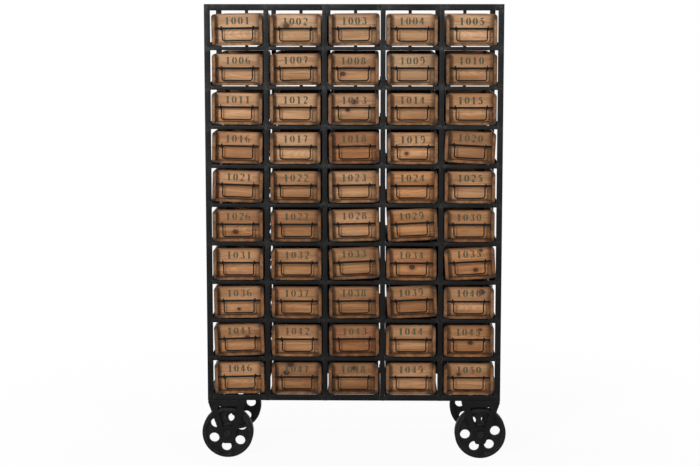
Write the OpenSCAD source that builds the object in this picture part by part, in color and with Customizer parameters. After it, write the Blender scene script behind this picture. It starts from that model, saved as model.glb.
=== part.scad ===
// Parts bin cabinet: an open iron frame on four cast wheels, holding ten rows of five wooden bins.
// Millimetres. X to the right, +Z up, the bins open towards -Y. Origin on the floor, under the middle.

/* [Frame] */
// Clear width of one cell between two posts
cell_w = 208; // [190:1:230]
// Clear height of one cell between two rails
cell_h = 139; // [130:1:155]
// Depth of the frame, front face to rear face
frame_d = 500; // [380:5:600]
// Width of the four corner posts, square bar
corner_post_w = 22; // [18:1:30]
// Width of the posts between two columns, square bar
mid_post_w = 19; // [14:1:24]
// Height of the rails between two rows
rail_h = 14; // [10:1:20]
// Depth of the front rails between two rows
rail_d = 14; // [8:1:18]
// Height of the top rails
top_rail_h = 25; // [18:1:40]
// Height of the bottom rails
bottom_rail_h = 22; // [18:1:40]
// Width of the slats behind the bins
slat_w = 14; // [10:1:24]
// Thickness of the slats behind the bins
slat_t = 5; // [3:1:8]
// How far the rails stand back from the face of the posts
rail_setback = 1; // [0:0.5:3]

/* [Runners] */
// Thickness of the angle iron
runner_t = 3; // [2:0.5:4]
// Width of the leg that a bin slides on
runner_seat_w = 25; // [15:1:30]
// Height of the upright leg above the seat
runner_lip = 14; // [12:1:18]

/* [Bins] */
// Gap between a bin and the post on each side
bin_side_gap = 5; // [4.5:0.5:8]
// Gap between a bin and the rail above it
bin_top_gap = 14; // [13:1:25]
// Thickness of the side boards
board_t = 14; // [13:1:18]
// Thickness of the bottom board
bottom_t = 10; // [8:1:16]
// Thickness of the front and back boards
panel_t = 12; // [8:1:18]
// How far the front board stands back from the bin's front edge
panel_recess = 32; // [26:1:60]
// Radius of the worn outer edges
corner_r = 12; // [8:1:12]
// How far the front of a bin stands back from the posts
bin_setback = 1; // [0:0.5:5]
// Gap between the back of a bin and the slat that stops it
stop_gap = 1; // [0.5:0.5:5]

/* [Handles] */
// Diameter of the rod across the front
rod_d = 8; // [5:0.5:9]
// Height of the rod's centre below the bin's top edge
rod_drop = 55; // [45:1:60]
// Distance of the rod's centre from the bin's front edge
rod_inset = 12; // [10:1:14]
// How deep the rod's ends sit in the side boards
rod_socket = 8; // [5:1:10]
// Diameter of the bail wire
wire_d = 5; // [3:0.5:6]
// Width of the bail, wire centre to wire centre
bail_w = 118; // [90:1:150]
// Drop from the rod's centre to the lower wire's centre
bail_drop = 48; // [35:1:50]
// Bend radius of the bail's lower corners
bail_bend_r = 9; // [5:1:15]
// Play of the bail's eyes round the rod
bail_play = 0.3; // [0.2:0.1:1]

/* [Wheels] */
// Diameter of the wheels
wheel_d = 203; // [180:1:250]
// Width of the tread
wheel_w = 42; // [30:1:50]
// Thickness of the rim, measured along a radius
rim_t = 14; // [8:1:16]
// Bevel of the rim's edges
rim_bevel = 3; // [1:0.5:5]
// Thickness of the web between hub and rim
web_t = 16; // [10:1:26]
// Diameter of the hub
hub_d = 58; // [44:1:64]
// Length of the hub
hub_w = 46; // [44:1:60]
// Diameter of the holes in the web
web_hole_d = 39; // [25:1:42]
// Diameter of the circle that the holes lie on
hole_circle_d = 120; // [112:1:122]
// Diameter of the axle bolts
axle_d = 16; // [12:1:20]
// Gap between the top of a wheel and the frame
wheel_top_gap = 32; // [20:1:60]

/* [Brackets] */
// Width of a bracket where it meets the frame
bracket_w = 152; // [120:1:160]
// How far a bracket's side stands in from the frame's side
bracket_inset = 1; // [0:0.5:20]
// Thickness of the bracket plates
bracket_t = 6; // [4:0.5:9]
// Height of the straight band at the top of a bracket
bracket_band = 9; // [4:1:15]
// Width of a bracket at its foot
foot_w = 44; // [40:1:60]
// How far the foot reaches below the axle
foot_drop = 42; // [24:1:60]
// Radius of the foot's lower corners
foot_r = 10; // [4:1:16]
// Width of the window at its top
window_top_w = 84; // [60:1:92]
// Width of the window at its bottom
window_low_w = 38; // [20:1:44]
// Height of the plate left above the window
window_top_drop = 25; // [14:1:36]
// Height of the window's bottom above the axle
window_rise = 25; // [20:1:40]
// Across-flats size of the bolt heads and nuts
hex_flats = 24; // [22:1:30]
// Height of a bolt head and of a nut
hex_h = 9; // [6:1:14]
// Length of thread past a nut
thread_tail = 5; // [0:1:12]

/* [Fits] */
// Gap left between pieces that are welded or nailed edge to edge
weld_gap = 0.2; // [0.1:0.05:0.4]
// Radial clearance of a wheel on its axle
axle_clearance = 0.06; // [0.02:0.01:0.1]
// Radial clearance of a bolt in its bracket
bolt_clearance = 0.3; // [0.1:0.1:1]
// Gap between a hub's end and the bracket plate
hub_play = 0.5; // [0.2:0.1:2]
// Gap where a tilted bin rests on its runners
rest_gap = 0.15; // [0.1:0.05:0.3]

/* [Hidden] */
$fn = 48;
columns = 5;
rows = 10;

// Bins that ride up on one runner: bin number, raised side (1 right, -1 left), share of the full climb.
climbs = [
    [1, 1, 0.1], [3, 1, 0.04], [7, 1, 0.05], [11, -1, 0.06], [16, -1, 0.3], [18, 1, 0.1], [20, -1, 0.85],
    [21, -1, 0.5], [23, 1, 0.15], [28, 1, 0.35], [29, 1, 0.97], [33, 1, 0.95], [35, 1, 0.93],
    [36, 1, 0.12], [38, 1, 0.1], [39, 1, 0.87], [41, 1, 0.55], [43, 1, 0.13], [46, 1, 0.3]
];

frame_w = columns * cell_w + (columns - 1) * mid_post_w + 2 * corner_post_w;
frame_lift = wheel_d + wheel_top_gap;
row_pitch = cell_h + rail_h;
top_rail_z = frame_lift + bottom_rail_h + rows * row_pitch - rail_h;
frame_top = top_rail_z + top_rail_h;
front_y = -frame_d / 2;
rear_y = frame_d / 2;

bin_w = cell_w - 2 * bin_side_gap;
bin_h = cell_h - runner_t - bin_top_gap;
bin_d = frame_d - bin_setback - slat_t - stop_gap;
bin_inner_w = bin_w - 2 * board_t;
wall_w = bin_inner_w - 2 * weld_gap;
wall_h = bin_h - bottom_t - weld_gap;
rod_z = bin_h - rod_drop;
eye_r = rod_d / 2 + bail_play + wire_d / 2;

// A raised bin leans its round lower edge on the lip of the runner, and its side stays off the post.
corner_x = bin_w / 2 - corner_r;
reach = corner_r + rest_gap;
closest = reach - runner_t + rest_gap;
full_climb = sqrt(reach * reach - closest * closest);
level_play = bin_side_gap - runner_t - rest_gap;

axle_z = wheel_d / 2;
wheel_x = frame_w / 2 - bracket_inset - bracket_w / 2;
plate_gap = hub_w + 2 * hub_play;
bracket_d = plate_gap + 2 * bracket_t;
wheel_y = rear_y - bracket_d / 2;
grip = bracket_d;

wheel_names = ["wheel_front_left", "wheel_front_right", "wheel_rear_left", "wheel_rear_right"];
// Each wheel's place: side, end, and how far its holes are turned.
wheel_places = [[-1, -1, 24], [1, -1, 7], [-1, 1, 11], [1, 1, 47]];

function bin_name(n) = str("bin_", n < 10 ? "0" : "", n);

// Left edge and middle of a column, counted from 0 at the left.
function cell_left(c) = -frame_w / 2 + corner_post_w + c * (cell_w + mid_post_w);
function cell_x(c) = cell_left(c) + cell_w / 2;
// Top of the rail under a row, counted from 0 at the bottom.
function shelf_z(r) = frame_lift + bottom_rail_h + r * row_pitch;
function post_w(i) = (i == 0 || i == columns) ? corner_post_w : mid_post_w;
function post_left(i) = i == 0 ? -frame_w / 2 : cell_left(i - 1) + cell_w;

function column_of(n) = (n - 1) % columns;
function row_of(n) = rows - 1 - floor((n - 1) / columns);
function climb_of(n) = [for (entry = climbs) if (entry[0] == n) entry];

// Extrudes an outline drawn in X and Z from depth y over a length.
module along_y(y, length) {
    translate([0, y + length, 0]) rotate([90, 0, 0]) linear_extrude(length) children();
}

// A rod of a diameter along X, Y or Z, from its centre.
module rod_x(d, length) rotate([0, 90, 0]) cylinder(d = d, h = length, center = true);
module rod_y(d, length) rotate([90, 0, 0]) cylinder(d = d, h = length, center = true);

// ---- frame ----

module posts(y, depth_of_corner, depth_of_mid) {
    for (i = [0 : columns]) {
        depth = (i == 0 || i == columns) ? depth_of_corner : depth_of_mid;
        translate([post_left(i), y < 0 ? y : y - depth, frame_lift])
            cube([post_w(i), depth, frame_top - frame_lift]);
    }
}

// One rail, cut into a length for each column, between the posts.
module rail(y, depth, z, height) {
    for (c = [0 : columns - 1])
        translate([cell_left(c) + weld_gap, y, z]) cube([cell_w - 2 * weld_gap, depth, height]);
}

module front_frame() color("dimgray") {
    posts(front_y, corner_post_w, mid_post_w);
    rail(front_y + rail_setback, rail_d, frame_lift, bottom_rail_h);
    rail(front_y + rail_setback, rail_d, top_rail_z, top_rail_h);
    for (r = [1 : rows - 1])
        rail(front_y + rail_setback, rail_d, shelf_z(r) - rail_h, rail_h);
}

module rear_frame() color("dimgray") {
    posts(rear_y, corner_post_w, mid_post_w);
    rail(rear_y - rail_setback - rail_d, rail_d, frame_lift, bottom_rail_h);
    rail(rear_y - rail_setback - rail_d, rail_d, top_rail_z, top_rail_h);
    for (c = [0 : columns - 1])
        translate([cell_x(c) - slat_w / 2, rear_y - slat_t, frame_lift + bottom_rail_h + weld_gap])
            cube([slat_w, slat_t, top_rail_z - frame_lift - bottom_rail_h - 2 * weld_gap]);
}

// Bars from front to rear at both sides, top and bottom.
module depth_rails() color("dimgray") {
    length = frame_d - 2 * corner_post_w - 2 * weld_gap;
    for (side = [0, columns])
        translate([post_left(side), -length / 2, 0]) {
            translate([0, 0, frame_lift]) cube([corner_post_w, length, bottom_rail_h]);
            translate([0, 0, top_rail_z]) cube([corner_post_w, length, top_rail_h]);
        }
}

// Angle iron in cross section, its upright leg against a post on the left.
module runner_section() {
    square([runner_seat_w, runner_t]);
    square([runner_t, runner_t + runner_lip]);
}

module bin_runners() color("dimgray") {
    length = frame_d - rail_setback - slat_t - 2 * weld_gap;
    for (r = [0 : rows - 1], c = [0 : columns - 1])
        translate([cell_left(c), 0, shelf_z(r)]) {
            along_y(front_y + rail_setback, length) runner_section();
            along_y(front_y + rail_setback, length) translate([cell_w, 0]) mirror([1, 0]) runner_section();
        }
}

// ---- bins ----

// The bin seen from the front, with its worn round edges.
module bin_outline() {
    translate([-bin_w / 2, corner_r]) square([bin_w, bin_h - 2 * corner_r]);
    translate([-corner_x, 0]) square([2 * corner_x, bin_h]);
    for (x = [-corner_x, corner_x], z = [corner_r, bin_h - corner_r]) translate([x, z]) circle(r = corner_r);
}

module side_board(side) {
    difference() {
        along_y(0, bin_d) intersection() {
            bin_outline();
            translate([side > 0 ? bin_w / 2 - board_t : -bin_w / 2, 0]) square([board_t, bin_h]);
        }
        translate([side * bin_inner_w / 2, rod_inset, rod_z]) rod_x(rod_d + 2 * weld_gap, 2 * rod_socket);
    }
}

module upright_board(y) translate([-wall_w / 2, y, bottom_t + weld_gap]) cube([wall_w, panel_t, wall_h]);

// One bent wire: two eyes round the rod, two legs, two bends and the grip.
module bail() {
    leg_top = -eye_r;
    leg_low = -bail_drop + bail_bend_r;
    for (side = [-1, 1]) translate([side * bail_w / 2, 0, 0]) {
        rotate([0, 90, 0]) rotate_extrude() translate([eye_r, 0]) circle(d = wire_d, $fn = 24);
        translate([0, 0, leg_low]) cylinder(d = wire_d, h = leg_top - leg_low, $fn = 24);
        translate([-side * bail_bend_r, 0, leg_low]) rotate([90, 0, 0]) rotate([0, 0, side > 0 ? -90 : 180])
            rotate_extrude(angle = 90) translate([bail_bend_r, 0]) circle(d = wire_d, $fn = 24);
    }
    translate([0, 0, -bail_drop]) rod_x(wire_d, bail_w - 2 * bail_bend_r);
}

module bin_boards() color("peru") {
    side_board(-1);
    side_board(1);
    translate([-wall_w / 2, 0, 0]) cube([wall_w, bin_d, bottom_t]);
    upright_board(panel_recess);
    upright_board(bin_d - panel_t);
}

module bin_handle() color("black") translate([0, rod_inset, rod_z]) {
    rod_x(rod_d, bin_inner_w + 2 * (rod_socket - weld_gap));
    bail();
}

module parts_bin() {
    bin_boards();
    bin_handle();
}

// Puts a bin in its cell: level on both seats, or with one lower edge up on the lip of a runner.
module seat_bin(n) {
    climb = climb_of(n);
    translate([cell_x(column_of(n)), front_y + bin_setback, shelf_z(row_of(n)) + runner_t]) {
        if (len(climb) == 0) {
            translate([level_play * sin(n * 80), 0, 0]) children();
        } else {
            side = climb[0][1];
            high_z = max(reach, runner_lip + climb[0][2] * full_climb);
            over_lip = high_z - runner_lip;
            high_x = cell_w / 2 - runner_t - sqrt(reach * reach - over_lip * over_lip);
            tilt = asin((high_z - reach) / (2 * corner_x));
            shift = high_x - corner_x * cos(tilt) + corner_r * sin(tilt);
            rise = high_z - corner_x * sin(tilt) - corner_r * cos(tilt);
            translate([side * shift, 0, rise]) rotate([0, -side * tilt, 0]) children();
        }
    }
}

// ---- wheels ----

module wheel(turn) color("dimgray") rotate([90, 0, 0]) rotate([0, 0, turn]) {
    tread_r = wheel_d / 2;
    rim_r = tread_r - rim_t;
    bore_r = axle_d / 2 + axle_clearance;
    difference() {
        rotate_extrude() polygon([
            [bore_r, -hub_w / 2], [hub_d / 2, -hub_w / 2], [hub_d / 2, -web_t / 2], [rim_r, -web_t / 2],
            [rim_r, -wheel_w / 2], [tread_r - rim_bevel, -wheel_w / 2], [tread_r, -wheel_w / 2 + rim_bevel],
            [tread_r, wheel_w / 2 - rim_bevel], [tread_r - rim_bevel, wheel_w / 2], [rim_r, wheel_w / 2],
            [rim_r, web_t / 2], [hub_d / 2, web_t / 2], [hub_d / 2, hub_w / 2], [bore_r, hub_w / 2]
        ]);
        for (a = [0 : 60 : 300]) rotate([0, 0, a]) translate([hole_circle_d / 2, 0, 0])
            cylinder(d = web_hole_d, h = 2 * web_t, center = true);
    }
}

// Points of an arc about (x, z).
function arc(x, z, r, from, to, steps) =
    [for (i = [0 : steps]) let (a = from + (to - from) * i / steps) [x + r * cos(a), z + r * sin(a)]];

// Cheek of a bracket: a straight band, then a taper to a rounded foot, with a tapered window.
module cheek_outline() {
    foot_z = axle_z - foot_drop;
    foot_x = foot_w / 2 - foot_r;
    window_z = axle_z + window_rise;
    window_top = frame_lift - window_top_drop;
    difference() {
        polygon(concat(
            [[bracket_w / 2, frame_lift - weld_gap], [-bracket_w / 2, frame_lift - weld_gap],
             [-bracket_w / 2, frame_lift - bracket_band]],
            arc(-foot_x, foot_z + foot_r, foot_r, 200, 270, 5),
            arc(foot_x, foot_z + foot_r, foot_r, 270, 340, 5),
            [[bracket_w / 2, frame_lift - bracket_band]]
        ));
        polygon([
            [-window_low_w / 2, window_z], [window_low_w / 2, window_z],
            [window_top_w / 2, window_top], [-window_top_w / 2, window_top]
        ]);
    }
}

module caster_bracket() {
    difference() {
        for (y = [-bracket_d / 2, bracket_d / 2 - bracket_t]) along_y(y, bracket_t) cheek_outline();
        translate([0, 0, axle_z]) rod_y(axle_d + 2 * bolt_clearance, 2 * bracket_d);
    }
    translate([-bracket_w / 2, -plate_gap / 2 + weld_gap, frame_lift - weld_gap - bracket_t])
        cube([bracket_w, plate_gap - 2 * weld_gap, bracket_t]);
}

// Bolt with its head on the outer side, and its nut on the inner side.
module axle_bolt(end) translate([0, 0, axle_z]) {
    shank = grip + hex_h + thread_tail + 2 * weld_gap;
    head_y = end * (grip / 2 + weld_gap + hex_h / 2);
    nut_y = -head_y;
    translate([0, head_y, 0]) rod_y(hex_flats / cos(30), hex_h, $fn = 6);
    translate([0, end * (grip / 2 + weld_gap - shank / 2), 0]) rod_y(axle_d, shank);
    difference() {
        translate([0, nut_y, 0]) rod_y(hex_flats / cos(30), hex_h, $fn = 6);
        translate([0, nut_y, 0]) rod_y(axle_d + 2 * weld_gap, 2 * hex_h, $fn = 48);
    }
}

module at_wheel(place) translate([place[0] * wheel_x, place[1] * wheel_y, 0]) children();

module caster_brackets() color("dimgray") for (place = wheel_places) at_wheel(place) caster_bracket();
module axle_bolts() color("silver") for (place = wheel_places) at_wheel(place) axle_bolt(place[1]);

front_frame();
rear_frame();
depth_rails();
bin_runners();
caster_brackets();
axle_bolts();
for (i = [0 : 3])
    at_wheel(wheel_places[i]) translate([0, 0, axle_z]) wheel(wheel_places[i][2]);
for (n = [1 : columns * rows])
    seat_bin(n) parts_bin();
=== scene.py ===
"""Looks for the parts bin cabinet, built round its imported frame. Metres, +Z up, front towards -Y."""

import functools
import math
import random

import bmesh
import bpy
from mathutils import Matrix, Vector, noise


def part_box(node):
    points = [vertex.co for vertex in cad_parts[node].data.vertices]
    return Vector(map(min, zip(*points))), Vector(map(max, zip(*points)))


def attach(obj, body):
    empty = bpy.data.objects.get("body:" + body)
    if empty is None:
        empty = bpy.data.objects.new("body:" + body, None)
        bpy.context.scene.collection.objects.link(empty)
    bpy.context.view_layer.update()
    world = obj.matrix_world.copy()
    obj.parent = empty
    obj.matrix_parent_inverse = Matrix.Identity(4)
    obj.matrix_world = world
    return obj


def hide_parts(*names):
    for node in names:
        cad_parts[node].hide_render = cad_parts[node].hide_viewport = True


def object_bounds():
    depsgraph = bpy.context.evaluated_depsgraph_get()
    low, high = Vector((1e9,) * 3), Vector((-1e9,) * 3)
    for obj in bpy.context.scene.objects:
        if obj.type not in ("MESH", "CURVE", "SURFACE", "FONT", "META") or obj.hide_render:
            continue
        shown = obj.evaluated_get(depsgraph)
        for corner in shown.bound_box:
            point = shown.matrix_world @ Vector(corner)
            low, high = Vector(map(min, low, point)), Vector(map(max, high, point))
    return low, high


# -------- sizes, in metres

MM = 0.001
X, Y, Z = range(3)
COLUMNS = 5
ROWS = 10
BINS = COLUMNS * ROWS

# Bins: boards and how far their edges are rounded
BOARD_T = 14 * MM
BOTTOM_T = 10 * MM
PANEL_T = 12 * MM
PANEL_RECESS = 32 * MM
CORNER_R = 12 * MM
JOINT_GAP = 0.2 * MM
SIDE_END_R = 3.5 * MM
BOTTOM_END_R = 1.2 * MM
BOTTOM_EDGE_R = 0.9 * MM
PANEL_END_R = 0.4 * MM
PANEL_EDGE_R = 1.0 * MM
INNER_EDGE_R = 1.0 * MM
WARP = 0.0016
KNOT_LENGTH = 1.25
LEAST_LEAN = math.radians(0.2)

# Rods and bails
ROD_D = 8 * MM
ROD_DROP = 55 * MM
ROD_INSET = 12 * MM
ROD_SOCKET = 8 * MM
WIRE_D = 5 * MM
BAIL_W = 118 * MM
BAIL_DROP = 48 * MM
BAIL_BEND_R = 9 * MM
BAIL_PLAY = 0.3 * MM
EYE_TURN = 330
EYE_STEPS = 14
EYE_LEAD = 1.15 * WIRE_D
LEG_START = 3 * MM
LEG_FORWARD = 0.2 * MM
BEND_STEPS = 6
ROD_STEPS = 8

# Stencilled numbers. THIN and THICK are stroke widths as shares of the height
DIGIT_H = 29 * MM
DIGIT_PITCH = 26 * MM
DIGIT_MIDDLE_Z = 95 * MM
INK_T = 0.15 * MM
INK_STEP = 0.02 * MM
THIN = 0.085
THICK = 0.25
FIRST_NUMBER = 1001

# Frame: the lowest rail's middle, the steps from rail to rail and from post to post, bars, runners and weld beads
RAIL_Z = 250 * MM
ROW_PITCH = 153 * MM
COLUMN_PITCH = 227 * MM
BAR_EDGE_R = 1.0 * MM
BAR_WOBBLE = 0.2 * MM
BAR_SPAN = 160 * MM
RUNNER_T = 3 * MM
RUNNER_EDGE_R = 0.7 * MM
RUNNER_ROOT_R = 2 * MM
BEAD_R = 1.7 * MM
BEAD_SUNK = 0.6 * MM
BEAD_END = 1.5 * MM
BLOB_R = 2.2 * MM
BLOB_SHARE = 0.75
BLOB_IN = 1.5 * MM
BLOB_BACK = 3 * MM
BLOB_RUN = 5 * MM
BLOB_SLANT = 2 * MM

# Wheels, with the turn of their holes in degrees, and what holds them
AXLE_D = 16 * MM
AXLE_PLAY = 0.06 * MM
BOLT_HEAD_W = 24 * MM
BOLT_HEAD_H = 9 * MM
RIM_T = 14 * MM
RIM_STEP = 2 * MM
TREAD_LIP = 3 * MM
RIM_FILLET = 3 * MM
RIM_STEPS = 112
WEB_T = 16 * MM
WEB_EDGE_R = 1.6 * MM
WEB_IN_RIM = 2 * MM
WEB_IN_HUB = 4 * MM
HUB_D = 58 * MM
HUB_FILLET = 4 * MM
HUB_STEPS = 64
WEB_HOLE_D = 39 * MM
HOLE_CIRCLE_D = 120 * MM
HOLES = 6
HOLE_TURNS = {
    "wheel_front_left": 24,
    "wheel_front_right": 7,
    "wheel_rear_left": 11,
    "wheel_rear_right": 47,
}
FOOT_W = 44 * MM
FOOT_DROP = 42 * MM
FOOT_R = 10 * MM
BRACKET_BAND = 9 * MM
BRACKET_BEAD_R = 1.8 * MM
BRACKET_BEAD_RUN = 16 * MM
CHEEK_EDGE_R = 1.2 * MM
WINDOW_TOP_W = 84 * MM
WINDOW_LOW_W = 38 * MM
WINDOW_TOP_DROP = 25 * MM
WINDOW_RISE = 25 * MM

# Seeds of the random draws. A bin's are its number times the first and plus the second
BOARD_SEED = (31, 7)
HANDLE_SEED = (97, 3)
NUMBER_SEED = (13, 5)
TONE_SEED = (51, 11)
WELD_SEED = 4
BRACKET_SEED = 8
BOLT_SEED = 15

# The photograph's width in pixels, and a camera that frames the cabinet as it does: metres, degrees, pixels
PHOTO_W = 700
CAMERA_DISTANCE = 6.341
CAMERA_HEIGHT = 1.80
CAMERA_SIDE = 0.088
CAMERA_TILT = 6.90
CAMERA_TURN = 0.93
CAMERA_SHIFT = -0.045
FOCAL_PX = 1636
WORLD_LIGHT = 0.25

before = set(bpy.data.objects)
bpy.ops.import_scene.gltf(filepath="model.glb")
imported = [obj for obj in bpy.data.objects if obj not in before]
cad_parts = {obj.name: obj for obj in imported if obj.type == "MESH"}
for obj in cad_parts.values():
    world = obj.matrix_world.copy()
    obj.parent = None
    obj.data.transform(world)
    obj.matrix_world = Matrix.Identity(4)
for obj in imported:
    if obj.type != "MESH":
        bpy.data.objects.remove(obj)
cad_low, cad_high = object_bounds()

# A bin that stands straight gives the size of all
straight_low, straight_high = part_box("bin_02")
BIN_SIZE = straight_high - straight_low


# -------- mesh helpers


def add_object(name, data):
    """An object of a mesh, a curve, a lamp or a camera, in the scene."""
    made = bpy.data.objects.new(name, data)
    bpy.context.scene.collection.objects.link(made)
    return made


def finish_piece(name, bm, body, material, replaces=(), smooth=40):
    """Makes a piece of a bmesh, shades it smooth up to an angle in degrees and lets it ride on a body."""
    bmesh.ops.recalc_face_normals(bm, faces=bm.faces)
    mesh = bpy.data.meshes.new(name)
    bm.to_mesh(mesh)
    bm.free()
    mesh.materials.append(material)
    mesh.shade_smooth()
    mesh.set_sharp_from_angle(angle=math.radians(smooth))
    piece = add_object(name, mesh)
    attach(piece, body)
    if replaces:
        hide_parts(*replaces)


def arc(cx, cy, rx, ry, start, end, steps=10):
    """Points along an arc of an ellipse, its angles in degrees."""
    turns = [math.radians(start + (end - start) * i / steps) for i in range(steps + 1)]
    return [(cx + rx * math.cos(a), cy + ry * math.sin(a)) for a in turns]


def circle(cx, cy, r, steps, turn=0):
    """Closed outline of a circle that starts at a turn."""
    return arc(cx, cy, r, r, turn, turn + 360, steps)[:-1]


def rectangle(width, height, radius, steps=2):
    """Outline of a rectangle with round corners, from (0, 0), anticlockwise."""
    points = []
    for cx, cy, start in (
        (width - radius, radius, -90),
        (width - radius, height - radius, 0),
        (radius, height - radius, 90),
        (radius, radius, 180),
    ):
        points += arc(cx, cy, radius, radius, start, start + 90, steps)
    return points


def offset_outline(outline, inset):
    """A closed outline moved inwards by inset, for an outline that runs anticlockwise.

    A third number of a point is its share of the inset."""
    out = []
    count = len(outline)
    for i, (x, y, *share) in enumerate(outline):
        x0, y0 = outline[i - 1][:2]
        x1, y1 = outline[(i + 1) % count][:2]
        a = Vector((x - x0, y - y0)).normalized()
        b = Vector((x1 - x, y1 - y)).normalized()
        normal = Vector((-(a.y + b.y), a.x + b.x))
        cosine = max(0.35, math.sqrt(max(0.0, (1 + a.dot(b)) / 2)))
        normal.normalize()
        move = inset * (share[0] if share else 1) / cosine
        out.append((x + normal.x * move, y + normal.y * move))
    return out


def join_rings(bm, rings, ends=True):
    """Faces between rings of as many vertices each, and over the two ends."""
    for lower, upper in zip(rings, rings[1:]):
        for i in range(len(lower)):
            j = (i + 1) % len(lower)
            bm.faces.new((lower[i], lower[j], upper[j], upper[i]))
    if ends:
        bm.faces.new(list(reversed(rings[0])))
        bm.faces.new(rings[-1])


def loft(bm, outline, stations, place):
    """Joins copies of an outline at stations (distance, inset) into a closed solid. place maps (a, b, t) to a point."""
    rings = []
    for distance, inset in stations:
        ring = offset_outline(outline, inset) if inset else [point[:2] for point in outline]
        rings.append([bm.verts.new(place(a, b, distance)) for a, b in ring])
    join_rings(bm, rings)
    return [v for ring in rings for v in ring]


def rounded_stations(length, radius, steps, spans):
    """Stations of a bar with rounded ends: a few close to each end, and spans even ones between."""
    ends = []
    for i in range(steps + 1):
        turn = math.pi / 2 * i / steps
        ends.append((radius * (1 - math.cos(turn)), radius * (1 - math.sin(turn))))
    middle = [(radius + (length - 2 * radius) * i / spans, 0) for i in range(1, spans)]
    return ends + middle + [(length - d, inset) for d, inset in reversed(ends)]


def tube(bm, path, radius, sides=10, taper=None):
    """A closed round tube along a path of points, with its frame carried along without twist."""
    rings = []
    last = len(path) - 1
    side = (path[1] - path[0]).normalized().orthogonal().normalized()
    for i, point in enumerate(path):
        tangent = (path[min(i + 1, last)] - path[max(i - 1, 0)]).normalized()
        side = (side - tangent * side.dot(tangent)).normalized()
        up = tangent.cross(side)
        r = radius * (taper[i] if taper else 1)
        turns = [math.tau * k / sides for k in range(sides)]
        rings.append([bm.verts.new(point + (side * math.cos(a) + up * math.sin(a)) * r) for a in turns])
    join_rings(bm, rings)


def islands(obj):
    """A CAD node's separate solids: (lowest corner, highest corner, vertices)."""
    bm = bmesh.new()
    bm.from_mesh(obj.data)
    bmesh.ops.remove_doubles(bm, verts=bm.verts, dist=0.01 * MM)
    seen = set()
    out = []
    for start in bm.verts:
        if start in seen:
            continue
        seen.add(start)
        stack, members = [start], []
        while stack:
            v = stack.pop()
            members.append(v.co.copy())
            for edge in v.link_edges:
                other = edge.other_vert(v)
                if other not in seen:
                    seen.add(other)
                    stack.append(other)
        low = Vector(min(c[i] for c in members) for i in range(3))
        high = Vector(max(c[i] for c in members) for i in range(3))
        out.append((low, high, members))
    bm.free()
    return out


# -------- materials


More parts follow.
